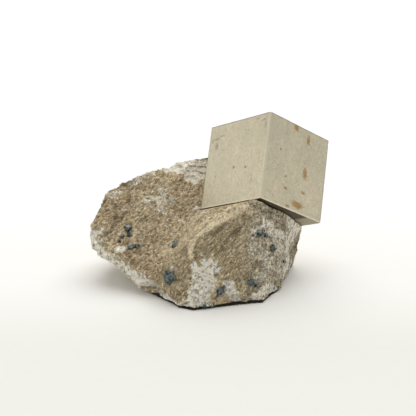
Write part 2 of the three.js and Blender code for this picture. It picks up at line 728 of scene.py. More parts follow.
@dataclass(frozen=True)
class MarlFinish:
    """Broken marl: brown stone with grain and flecks, darker smooth breaks, pale dust and a white crust, with
    painted shade in its low spots and along its foot, and painted highlights on its high spots, its ridge
    crests, its pale strip and its layered ledge.
    """

    stone: Colour = colour(204, 182, 141)
    stone_light: Colour = colour(232, 211, 172)
    stone_dark: Colour = colour(158, 136, 98)
    grey: Colour = colour(168, 159, 138)
    olive: Colour = colour(164, 146, 110)
    red: Colour = colour(172, 143, 107)
    crust: Colour = colour(252, 246, 230)
    crust_dirt: Colour = colour(146, 136, 116)
    light_fleck: Colour = colour(240, 226, 196)
    dark_fleck: Colour = colour(84, 70, 48)
    # painted contact shadow: a dark band along the drawn-in foot, where the stone meets the floor
    painted_foot_shadow: Colour = colour(58, 54, 46)
    grains_per_metre: float = 3000.0
    grain_strength: float = 1.1
    bump_strength: float = 0.9
    bump_depth: float = 0.00035

    @staticmethod
    def _along_grain(n: Nodes, place: object) -> Socket:
        """The place, drawn together along the stone's grain so that a pattern on it runs in streaks.

        Args:
            n: the material's builder.
            place: the position on the stone.

        Returns:
            The coordinates to lay the pattern on.
        """
        x, y, z = STONE_GRAIN
        turn = (0.0, math.asin(-z), math.atan2(y, x))
        inputs = {"Vector": place, "Rotation": turn, "Scale": (5.0, 1.0, 1.0)}
        return n.node("ShaderNodeMapping", inputs, vector_type="TEXTURE").outputs[0]

    def _veined(self, n: Nodes, place: object, tone: object) -> Socket:
        """The tone with thin pale veins and small dark holes, strongest on the stone's grey part.

        Args:
            n: the material's builder.
            place: the position on the stone.
            tone: the colour so far.

        Returns:
            The colour with the veins and holes on it.
        """
        amount = n.ramp(n.attribute("right"), 0.0, 1.0, 0.25, 1.0)
        for scale, width in ((330.0, 0.022), (760.0, 0.034)):
            off = n.maths("ABSOLUTE", n.off_half(n.noise(place, scale, 3.0, 0.6, 0.8)))
            vein = n.times(n.ramp(off, width * 0.3, width, 1.0, 0.0), n.times(amount, 0.95))
            gaps = n.ramp(n.noise(place, 520.0, 2.0), 0.44, 0.56)
            tone = n.blend(n.times(vein, gaps), tone, self.light_fleck)
        cells = n.node("ShaderNodeTexVoronoi", {"Vector": place, "Scale": 1050.0, "Randomness": 1.0})
        chosen = n.ramp(n.noise(place, 900.0, 2.0), 0.50, 0.56)
        hole = n.times(n.ramp(cells.outputs["Distance"], 0.2, 0.42, 1.0, 0.0), n.times(amount, chosen))
        return n.blend(n.times(hole, 0.8), tone, self.dark_fleck)

    def _crusted(self, n: Nodes, place: object, tone: object, ragged: object) -> Socket:
        """The tone under its white crust and its thin pale haze, with dirt in both.

        Args:
            n: the material's builder.
            place: the position on the stone.
            tone: the colour so far.
            ragged: noise that makes the crust's outline uneven.

        Returns:
            The colour with the crust on it.
        """
        white = n.ramp(n.plus(n.attribute("crust"), ragged), 0.36, 0.66)
        hazy = n.plus(n.attribute("cloud"), n.mask("right", 0.16))
        haze = n.ramp(n.plus(hazy, n.times(ragged, 1.35)), 0.74, 1.05, 0.0, 0.75)
        dark_tone = n.ramp(n.noise(place, 850.0, 6.0, 0.72), 0.47, 0.36, 0.0, 0.9)
        dark_tone = n.times(dark_tone, n.ramp(n.attribute("layers"), 0.0, 1.0, 1.0, 0.1))
        chalk = n.blend(n.most(dark_tone, n.mask("bands", 0.9)), self.crust, self.crust_dirt)
        return n.blend(n.most(white, haze), tone, chalk)

    def build(self) -> Material:
        """The material.

        Returns:
            A material that reads the masks stored on the stone.
        """
        material, n, shader = new_material("marl")
        place = n.place()
        grain = Speckle().add(n, place, self.grains_per_metre, self.grain_strength)
        patchy, medium, fine, flecks, pocks = (
            n.noise(place, scale, detail, rough)
            for scale, detail, rough in (
                (160.0, 5.0, 0.6),
                (700.0, 5.0, 0.65),
                (2700.0, 4.0, 0.7),
                (2300.0, 5.0, 0.75),
                (1900.0, 4.0, 0.75),
            )
        )
        streaks = n.noise(self._along_grain(n, place), 2300.0, 4.0, 0.65)
        # Painted highlights: the pale strip and the ridge crests are painted lighter.
        pale = n.most(n.attribute("strip"), n.attribute("crest"))
        tone = n.coats(
            n.blend(n.ramp(patchy, 0.35, 0.65), self.stone_dark, self.stone_light),
            (0.6, self.stone),
            (n.mask("right", 0.85), self.grey),
            (n.mask("smooth", 0.85), self.olive),
            (n.mask("red", 0.7), self.red),
            (n.times(pale, 0.75), self.stone_light),
            (n.ramp(flecks, 0.54, 0.64, 0.0, 0.9), self.light_fleck),
            (n.ramp(streaks, 0.53, 0.62, 0.0, 0.85), self.light_fleck),
            (n.ramp(streaks, 0.46, 0.33, 0.0, 0.7), self.dark_fleck),
            (n.ramp(pocks, 0.45, 0.33, 0.0, 0.75), self.dark_fleck),
            # painted highlight on the ridge crests
            (n.mask("crest", 0.35), self.light_fleck),
        )
        ragged = n.times(n.maths("SUBTRACT", n.plus(medium, fine), 1.0), 1.5)
        tone = self._crusted(n, place, self._veined(n, place, tone), ragged)
        # painted contact shadow along the foot
        tone = n.blend(n.mask("painted_foot_shadow", 0.9), tone, self.painted_foot_shadow)
        # Painted shade and light: the colour is darkened to 0.62 in the relief's low spots, lightened up to
        # 1.3 on its high spots and lifted to at least 1.25 on the layered ledge; the grain's shade multiplies
        # in as well.
        hollow = n.most(n.ramp(n.attribute("relief"), -0.24, 0.24, 0.62, 1.30), n.mask("layers", 1.25))
        shade = n.times(hollow, grain.outputs["Shade"])
        grey = n.node("ShaderNodeCombineColor", {0: shade, 1: shade, 2: shade}).outputs[0]
        n.feed(shader.inputs["Base Color"], n.blend(1.0, tone, grey, "MULTIPLY"))
        n.feed(shader.inputs["Roughness"], n.ramp(n.attribute("smooth"), 0.0, 1.0, 0.95, 0.75))
        shader.inputs["Specular IOR Level"].default_value = 0.25
        height = n.plus(grain.outputs["Height"], n.plus(n.times(fine, 1.3), n.times(medium, 0.6)))
        n.bump(shader, height, self.bump_strength, self.bump_depth)
        return material


@dataclass(frozen=True)
class PyriteFinish:
    """Bright pyrite: pale brass with growth lines, a satin bloom, pits and rust spots, a painted highlight
    along the front edges, painted dark lines along the edges and painted shade on the underside.
    """

    metal: Colour = colour(224, 213, 184)
    metal_cool: Colour = colour(214, 206, 178)
    bloom: Colour = colour(192, 182, 158)
    rust: Colour = colour(186, 148, 82)
    rust_dark: Colour = colour(148, 112, 60)
    shine: Colour = colour(240, 230, 206)
    # a dark colour for hairlines and pits, and for the painted shade along the edges and on the underside
    dark_tone: Colour = colour(84, 74, 56)
    bump_strength: float = 0.45
    bump_depth: float = 0.00014

    def build(self) -> Material:
        """The material.

        Returns:
            A material that reads the masks and coordinates stored on the cube.
        """
        material, n, shader = new_material("pyrite")
        local = n.attribute("cube_place", "Vector")
        wide, fine, scuffs, flakes, sheen, blotches = (
            n.noise(local, scale, detail, rough)
            for scale, detail, rough in (
                (0.12, 4.0, 0.6),
                (3.5, 6.0, 0.7),
                (0.9, 6.0, 0.75),
                (1.7, 5.0, 0.7),
                (0.45, 5.0, 0.7),
                (1.6, 5.0, 0.65),
            )
        )
        combed = n.node("ShaderNodeMapping", {"Vector": local, "Scale": (2.6, 2.6, 0.16)}).outputs[0]
        hair = n.maths("ABSOLUTE", n.off_half(n.noise(local, 0.8, 2.0, 0.5, 1.2)))
        rust = n.ramp(n.plus(n.attribute("rust"), n.times(n.off_half(blotches), 1.6)), 0.20, 0.75)
        pit = n.attribute("pit")
        # Painted shade on the underside: the seat face is painted darker and duller, at a share of at least
        # 0.45 and fully towards its low end along the cube's first axis.
        painted_underside_shade = n.ramp(n.plus(n.attribute("painted_underside_shade"), n.times(blotches, 0.3)), 0.3, 0.9, 0.45, 1.0)
        painted_underside_shade = n.times(painted_underside_shade, n.attribute("seat"))
        tone = n.coats(
            n.blend(n.ramp(wide, 0.35, 0.65), self.metal, self.metal_cool),
            (n.ramp(fine, 0.45, 0.72, 0.0, 0.5), self.bloom),
            (n.ramp(scuffs, 0.50, 0.36, 0.0, 0.45), self.bloom),
            (n.ramp(n.noise(combed, 1.0, 4.0, 0.7), 0.42, 0.62, 0.0, 0.22), self.bloom),
            (n.ramp(flakes, 0.54, 0.66, 0.0, 0.45), self.shine),
            (n.ramp(sheen, 0.52, 0.68, 0.0, 0.35), self.shine),
            (n.ramp(hair, 0.002, 0.008, 0.5, 0.0), self.dark_tone),
            # painted highlight along the front edges
            (n.mask("painted_edge_highlight", 0.85), self.shine),
            # painted shade: a thin dark line along the edges
            (n.mask("rim", 0.7), self.dark_tone),
            (n.times(rust, 0.9), n.blend(n.ramp(fine, 0.35, 0.65), self.rust, self.rust_dark)),
            (pit, self.dark_tone),
            (painted_underside_shade, self.dark_tone),
        )
        n.feed(shader.inputs["Base Color"], tone)
        # the painted underside shade dulls the metal too, as the rust and the pits do
        dull = n.most(n.most(rust, pit), painted_underside_shade)
        n.feed(shader.inputs["Metallic"], n.ramp(dull, 0.0, 1.0, 0.92, 0.2))
        n.feed(shader.inputs["Roughness"], n.plus(n.ramp(fine, 0.3, 0.7, 0.34, 0.44), n.times(dull, 0.3)))
        growth = {"W": n.attribute("across"), "Scale": 9.0, "Detail": 5.0}
        lines = n.node("ShaderNodeTexNoise", growth, noise_dimensions="1D").outputs[0]
        n.bump(shader, n.plus(n.times(lines, 0.5), n.times(fine, 0.5)), self.bump_strength, self.bump_depth)
        return material


@dataclass(frozen=True)
class TarnishFinish:
    """Small crystals with a dark blue-grey tarnish."""

    dark: Colour = colour(52, 63, 63)
    light: Colour = colour(124, 138, 136)
    dust: Colour = colour(158, 147, 124)
    grains_per_metre: float = 4200.0
    grain_strength: float = 0.6
    bump_strength: float = 0.4
    bump_depth: float = 0.0001

    def build(self) -> Material:
        """The material.

        Returns:
            A material for all the small crystals.
        """
        material, n, shader = new_material("tarnished_pyrite")
        place = n.place()
        grain = Speckle().add(n, place, self.grains_per_metre, self.grain_strength)
        tone = n.coats(
            self.dark,
            (n.ramp(n.noise(place, 1400.0), 0.4, 0.62), self.light),
            (n.ramp(n.noise(place, 1900.0), 0.54, 0.68, 0.0, 0.75), self.dust),
        )
        n.feed(shader.inputs["Base Color"], tone)
        n.feed(shader.inputs["Roughness"], n.ramp(grain.outputs["Shade"], 0.8, 1.2, 0.35, 0.6))
        shader.inputs["Metallic"].default_value = 0.55
        n.bump(shader, grain.outputs["Height"], self.bump_strength, self.bump_depth)
        return material


# ---- the large cube ----


class Side(Enum):
    """The faces of the large cube, by the axis and the sign of each."""

    LEFT = (0, -1)
    REAR_RIGHT = (0, 1)
    RIGHT = (1, -1)
    REAR_LEFT = (1, 1)
    SEAT = (2, -1)
    TOP = (2, 1)

    @property
    def plane(self) -> tuple[int, int]:
        """The two axes that lie in the face."""
        return (self.value[0] + 1) % 3, (self.value[0] + 2) % 3


class MarkKind(Enum):
    """The kinds of mark on the large cube."""

    PIT = "pit"
    DENT = "dent"
    RUST = "rust"


@dataclass(frozen=True)
class Mark:
    """A mark on a face of the large cube, placed and sized in millimetres along the face's two axes."""

    side: Side
    kind: MarkKind
    first: float
    second: float
    wide: float
    high: float
    strength: float = 1.0


MARK_ROWS = {  # the place of each mark, its width and height, and its strength where that is below 1
    (Side.LEFT, MarkKind.DENT): (
        (8.5, 6.1, 0.45, 0.9), (8.9, 8.3, 1.0, 0.3), (6.6, 8.9, 1.1, 0.22, 0.8),
        (10.5, 8.0, 0.3, 0.5, 0.7), (-7.1, 11.5, 0.8, 0.22, 0.9), (-9.6, 10.6, 0.9, 0.2, 0.9),
        (-10.6, 9.2, 0.25, 0.8, 0.8),
    ),
    (Side.LEFT, MarkKind.PIT): (
        (0.3, -1.7, 0.28, 0.34), (-4.5, -2.4, 0.32, 0.28), (7.5, -3.4, 0.22, 0.22, 0.7),
    ),
    (Side.RIGHT, MarkKind.PIT): (
        (3.4, -6.7, 0.26, 0.26, 0.9), (-3.5, -3.6, 0.28, 0.24, 0.9), (2.5, 3.4, 0.2, 0.2, 0.7),
    ),
    (Side.RIGHT, MarkKind.RUST): (
        (11.7, -1.5, 1.2, 1.0), (9.5, 3.8, 1.6, 0.75), (-0.5, 3.8, 1.9, 1.0, 0.9),
        (-6.9, -3.2, 0.5, 0.88, 0.8), (-6.1, 3.9, 0.5, 1.0, 0.9), (-10.2, 2.0, 1.1, 2.4),
        (-11.6, -1.8, 0.44, 1.1, 0.9),
    ),
    (Side.TOP, MarkKind.DENT): ((3.0, -5.0, 0.9, 0.4, 0.9),),
    (Side.TOP, MarkKind.PIT): ((-4.0, 4.0, 0.35, 0.3),),
    (Side.REAR_LEFT, MarkKind.RUST): ((4.0, -3.0, 1.8, 1.0, 0.9),),
    (Side.REAR_LEFT, MarkKind.PIT): ((-3.0, 5.0, 0.4, 0.3),),
    (Side.REAR_RIGHT, MarkKind.RUST): ((-5.0, 4.0, 1.5, 1.2, 0.9),),
    (Side.REAR_RIGHT, MarkKind.DENT): ((4.0, 2.0, 0.4, 1.1, 0.9),),
}
MARKS = tuple(Mark(side, kind, *sizes) for (side, kind), rows in MARK_ROWS.items() for sizes in rows)


@dataclass
class LargeCube:
    """The large pyrite cube: crisp worn edges, shallow growth steps, chips and pits."""

    sides: Array
    axes: Array
    centre: Array
    marks: tuple = MARKS
    steps: int = 112  # grid lines along each edge
    wear: float = 0.13  # the usual radius of a worn edge
    chip: float = 0.35  # how much larger it is at a chip
    least_wear: float = 0.07
    wave_depth: float = 0.035
    terrace_depth: float = 0.03
    etch_depth: float = 0.05
    skin_depth: float = 0.02
    pit_depth: float = 0.22
    dent_depth: float = 0.16
    highest: float = 0.02  # how far the skin may stand out from the flat face
    noise: Noise = Noise(11)

    @classmethod
    def from_node(cls, name: str) -> LargeCube:
        """The cube with the turn and sides of a CAD node.

        Args:
            name: the node.

        Returns:
            The cube.
        """
        points, _ = node_points(name)
        low_front = points[np.argmin(points[:, 1])]
        spans = points - low_front
        lengths = np.linalg.norm(spans, axis=1)
        edges = spans[np.argsort(lengths)[1:4]]
        right = edges[np.argmax(edges[:, 0])]
        left = edges[np.argmin(edges[:, 0])]
        up = edges[np.argmax(edges[:, 2])]
        sides = np.array([np.linalg.norm(v) for v in (right, left, up)])
        axes = np.stack([right / sides[0], left / sides[1], up / sides[2]], 1)
        return cls(sides=sides, axes=axes, centre=low_front + (right + left + up) / 2)

    def _lines(self, half: float) -> Array:
        """Grid positions along one axis, closer together at the worn edges.

        Args:
            half: half the cube's side along the axis.

        Returns:
            The positions, from one edge to the other.
        """
        rim = half - np.array([0.0, 0.05, 0.11, 0.18, 0.28, 0.42])
        inner = np.linspace(-(half - 0.6), half - 0.6, self.steps - 2 * len(rim))
        return np.concatenate([-rim, inner, rim[::-1]])

    def _face(self, side: Side) -> tuple[Array, Array]:
        """One face's grid.

        Args:
            side: the face.

        Returns:
            Points on the sharp box, and quads that face outwards.
        """
        axis, sign = side.value
        u, v = side.plane
        half = self.sides / 2
        first, second = np.meshgrid(self._lines(half[u]), self._lines(half[v]), indexing="ij")
        points = np.zeros(first.shape + (3,))
        points[..., axis] = sign * half[axis]
        points[..., u], points[..., v] = first, second
        corner = np.arange(first.size).reshape(first.shape)
        rounds = [corner[:-1, :-1], corner[1:, :-1], corner[1:, 1:], corner[:-1, 1:]]
        quads = np.stack(rounds, -1).reshape(-1, 4)
        return points.reshape(-1, 3), quads if sign > 0 else quads[:, ::-1]

    def _relief(self, side: Side, points: Array) -> Array:
        """How far the skin of a face lies below the flat face, before it fades out at the edges.

        Args:
            side: the face.
            points: places on it.

        Returns:
            A depth in millimetres for each point.
        """
        axis = side.value[0]
        u, v = side.plane
        slow = np.stack([points[:, u] * 0.9, points[:, v] * 0.09, points[:, axis]], -1)
        terraces = np.floor((self.noise.layered(slow * 0.35 + 3.0 * axis, 3) + 1.0) * 7.0) / 7.0 - 1.0
        waves = self.noise.layered(points * 0.16, 2)
        nearest, tilt = self.noise.cells(self.noise.warp(points * 0.8, 0.3))
        etched = smoothstep(0.16, 0.02, nearest) * (tilt > -0.02)
        skin = self.noise.layered(points * 1.4, 2)
        depth = self.wave_depth * waves + self.terrace_depth * terraces
        return depth + self.etch_depth * etched + self.skin_depth * skin

    def _marks(self, side: Side, points: Array, kind: MarkKind) -> Array:
        """How strongly the marks of one kind cover each point of a face.

        Args:
            side: the face.
            points: places on it.
            kind: the kind of mark.

        Returns:
            From 0 to 1 for each point.
        """
        u, v = side.plane
        cover = np.zeros(len(points))
        for mark in self.marks:
            if mark.side is side and mark.kind is kind:
                first = (points[:, u] - mark.first) / mark.wide
                second = (points[:, v] - mark.second) / mark.high
                cover = np.maximum(cover, mark.strength * np.exp(-(first**2 + second**2)))
        return cover

    def _worn(self, points: Array) -> Array:
        """The points of the sharp box moved on to its worn, rounded edges.

        Args:
            points: places on the sharp box.

        Returns:
            The moved points.
        """
        half = self.sides / 2
        radius = self.wear * (1.0 + 0.9 * self.noise.layered(points * 0.45, 3))
        chipped = smoothstep(0.30, 0.55, self.noise.layered(points * 0.32 + 40.0, 2))
        radius = np.clip(radius + self.chip * chipped, self.least_wear, None)[:, None]
        inner = np.clip(points, -(half - radius), half - radius)
        return inner + radius * unit(points - inner)

    def _masks(self, side: Side, sharp: Array, rim: Array) -> dict[str, Array]:
        """What the finish reads on one face.

        Args:
            side: the face.
            sharp: places on the sharp box.
            rim: how far each place is from the face's nearest edge.

        Returns:
            A value for each place, by the name of the mask.
        """
        u, v = side.plane
        half = self.sides / 2
        across = sharp[:, u] if side in (Side.LEFT, Side.REAR_RIGHT, Side.TOP) else sharp[:, v]
        # painted highlight: a bright band along the front vertical edge and the bottom edges of the two front
        # faces
        from_front = {Side.LEFT: half[1] + sharp[:, 1], Side.RIGHT: half[0] + sharp[:, 0]}.get(side)
        painted_edge_highlight = np.zeros(len(sharp))
        if from_front is not None:
            painted_edge_highlight = smoothstep(0.6, 0.15, np.minimum(from_front, half[2] + sharp[:, 2]))
        seat_face = np.full(len(sharp), float(side is Side.SEAT))
        pits, dents = (self._marks(side, sharp, kind) for kind in (MarkKind.PIT, MarkKind.DENT))
        return {
            "seat": seat_face,
            # painted shade on the underside, strongest towards its low end along the first axis
            "painted_underside_shade": smoothstep(8.5, 4.5, sharp[:, 0]) * seat_face,
            "across": across,
            "rust": self._marks(side, sharp, MarkKind.RUST),
            "pit": np.maximum(pits, 0.45 * dents),
            # painted shade: a thin dark line along the edges, left out where the painted highlight lies
            "rim": smoothstep(0.4, 0.05, rim) * (1.0 - painted_edge_highlight),
            "painted_edge_highlight": painted_edge_highlight,
        }

    def build(self, finish: Material) -> Object:
        """Makes the cube.

        Args:
            finish: its material.

        Returns:
            The finished piece.
        """
        half = self.sides / 2
        points, quads, uvs, moved, masks = [], [], [], [], []
        for index, side in enumerate(Side):
            axis, sign = side.value
            plane = list(side.plane)
            sharp, faces = self._face(side)
            rim = (half[plane] - np.abs(sharp[:, plane])).min(1)
            pits, dents = (self._marks(side, sharp, kind) for kind in (MarkKind.PIT, MarkKind.DENT))
            depth = self._relief(side, sharp) + self.pit_depth * pits + self.dent_depth * dents
            worn = self._worn(sharp)
            worn[:, axis] -= sign * np.clip(depth, -self.highest, None) * smoothstep(0.12, 0.7, rim)
            quads.append(faces + sum(len(p) for p in points))
            uvs.append(on_sheets(sharp[:, plane] / half[plane], np.array([index % 3, index // 3])))
            points.append(sharp)
            moved.append(worn)
            masks.append(self._masks(side, sharp, rim))
        rounded = np.round(np.concatenate(points), 4)
        sharp, index, back = np.unique(rounded, axis=0, return_index=True, return_inverse=True)
        faces = np.concatenate(quads)
        placed = FRAME.to_row(self.centre + np.concatenate(moved)[index] @ self.axes.T)
        cube = make_object("pyrite_cube_worn", placed, back.reshape(-1)[faces], finish)
        set_uv(cube, np.concatenate(uvs)[faces])
        set_attribute(cube, "cube_place", sharp)
        for name in masks[0]:
            set_attribute(cube, name, np.concatenate([face[name] for face in masks])[index])
        shade_smooth(cube)
        return seat(cube, "pyrite", "pyrite_cube")

    def corner(self, *signs: int) -> Array:
        """The sharp corner on the given side of the cube's middle along each of its axes."""
        return self.centre + self.axes @ (np.array(signs) * self.sides / 2)

    def local(self, points: Array) -> Array:
        """Design points in the cube's own axes, from its middle."""
        return (points - self.centre) @ self.axes


# ---- the small crystals ----


@dataclass
class CrystalCluster:
    """A small dark crystal with smaller ones grown into it."""

    name: str
    centre: Array
    axes: Array
    size: float
    seed: int
    nodes: tuple[str, ...] = ()
    sprouts_per_face: float = 1.5
    sprout_share: float = 0.34  # a sprout's side as a share of the crystal's own
    bevel: float = 0.05
    grown: float = 0.88  # the crystal's own side as a share of the size given
    skin: float = 0.018  # how rough its faces are, as a share of the size given

    @classmethod
    def from_node(cls, name: str) -> CrystalCluster:
        """The cluster in the place, turn and size of a CAD node.

        Args:
            name: the node.

        Returns:
            The cluster.
        """
        points, _ = node_points(name)
        spans = points - points[0]
        edges = spans[np.argsort(np.linalg.norm(spans, axis=1))[1:4]]
        size = float(np.linalg.norm(edges, axis=1).mean())
        axes = np.stack([edge / np.linalg.norm(edge) for edge in edges], 1)
        if np.linalg.det(axes) < 0:
            axes = axes[:, [1, 0, 2]]
        seed = int(name.rsplit("_", 1)[1])
        return cls(f"{name}_cluster", points.mean(0), axes, size, seed, (name,))

    @staticmethod
    def tree() -> Tree:
        """The node tree that grows small cubes out of a larger one, built when it is first asked for.

        Returns:
            The tree. Its inputs are the crystal, how many sprouts there are to a square metre, their side,
            a seed and the finish.
        """
        name = "crystal_sprouts"
        if name in bpy.data.node_groups:
            return bpy.data.node_groups[name]
        inputs = {
            "Mesh": "Geometry",
            "Sprouts per square metre": "Float",
            "Sprout side": "Float",
            "Seed": "Int",
            "Finish": "Material",
        }
        tree, n, given, out = new_tree(name, "Geometry", inputs, {"Mesh": "Geometry"})
        crystal, density, side, seed, finish = given
        sprout = n.node("GeometryNodeMeshCube", {"Size": (1.0, 1.0, 1.0)}).outputs[0]
        turn = n.random("FLOAT_VECTOR", (0.0, 0.0, 0.0), (1.5, 1.5, 1.5), seed)
        share = n.random("FLOAT", 0.55, 1.25, n.plus(seed, 5.0))
        grown = n.scatter(crystal, density, seed, Instance=sprout, Rotation=turn, Scale=n.times(share, side))
        both = n.node("GeometryNodeJoinGeometry")
        n.feed(both.inputs[0], grown)
        n.feed(both.inputs[0], crystal)
        n.feed(out.inputs[0], n.paint(both.outputs[0], finish))
        return tree

    def build(self, finish: Material) -> Object:
        """Makes the cluster.

        Args:
            finish: its material.

        Returns:
            The finished piece.
        """
        signs = np.array([[x, y, z] for x in (-1, 1) for y in (-1, 1) for z in (-1, 1)], float)
        quads = np.array([[0, 1, 3, 2], [4, 6, 7, 5], [0, 4, 5, 1], [2, 3, 7, 6], [0, 2, 6, 4], [1, 5, 7, 3]])
        corners = self.centre + signs * self.grown * self.size / 2 @ self.axes.T
        piece = make_object(self.name, FRAME.to_row(corners), quads)
        side = self.size * MM
        per_area = self.sprouts_per_face / side**2
        apply_tree(piece, self.tree(), [per_area, self.sprout_share * side, self.seed, finish])
        rounding = piece.modifiers.new("worn_edges", "BEVEL")
        rounding.width = self.bevel * side
        rounding.segments = 2
        bake_modifiers(piece)
        self._roughen(piece)
        return seat(piece, "tarnished_pyrite", *self.nodes)

    def _roughen(self, piece: Object) -> None:
        """Cuts the crystals' faces finer and gives them growth steps.

        Args:
            piece: the cluster, whose mesh is changed.
        """
        cutter = piece.modifiers.new("finer", "SUBSURF")
        cutter.subdivision_type = "SIMPLE"
        cutter.levels = cutter.render_levels = 2
        bake_modifiers(piece)
        mesh = piece.data
        points, normals = mesh_arrays(mesh)
        place = FRAME.to_design(points)
        noise = Noise(100 + self.seed)
        lines = np.sin((place - self.centre) @ self.axes[:, 2] * 26.0 / self.size)
        shift = self.skin * self.size * (noise.layered(place * 2.4, 3) + 0.25 * lines)
        move_points(mesh, points + normals * (shift * MM)[:, None])


FIRST_SPECK_SEED = 30
CRYSTAL_SPECKS = (  # the place and size of each crystal too small to have a CAD part
    ((15.6, 11.9, 17.0), 1.1),
    ((-4.9, 24.6, 17.1), 0.6),
    ((-0.9, 1.2, 0.9), 0.8),
    ((0.4, 1.8, 0.8), 0.7),
    ((1.5, 2.2, 0.9), 0.7),
    ((-24.6, 20.2, 12.8), 0.6),
    ((2.4, 3.3, 3.0), 0.9),
    ((4.2, 4.2, 5.2), 0.8),
    ((11.9, 10.0, 17.6), 0.7),
    ((21.2, 18.6, 7.2), 0.8),
    ((12.6, 6.6, 4.6), 0.9),
)


# ---- the stone ----


class Skin(Enum):
    """What can cover or mark a part of the stone, by the name of the mask that holds it."""

    CRUST = "crust"
    CLOUD = "cloud"
    SMOOTH = "smooth"
    RED = "red"
    STRIP = "strip"
    CREST = "crest"
    CRACK = "crack"
    LAYERS = "layers"


@dataclass(frozen=True)
class Patch:
    """A part of the stone's surface: all that lies within reach of a line, in design millimetres."""

    skin: Skin
    reach: float
    strength: float
    line: tuple

    def cover(self, points: Array, ragged: Array) -> Array:
        """How strongly the patch covers each point.

        Args:
            points: where.
            ragged: noise for each point that makes the patch's outline uneven.

        Returns:
            From 0 to the patch's strength.
        """
        distance = line_distance(points, self.line)
        return self.strength * smoothstep(1.5, 0.35, distance / self.reach + 0.8 * ragged)


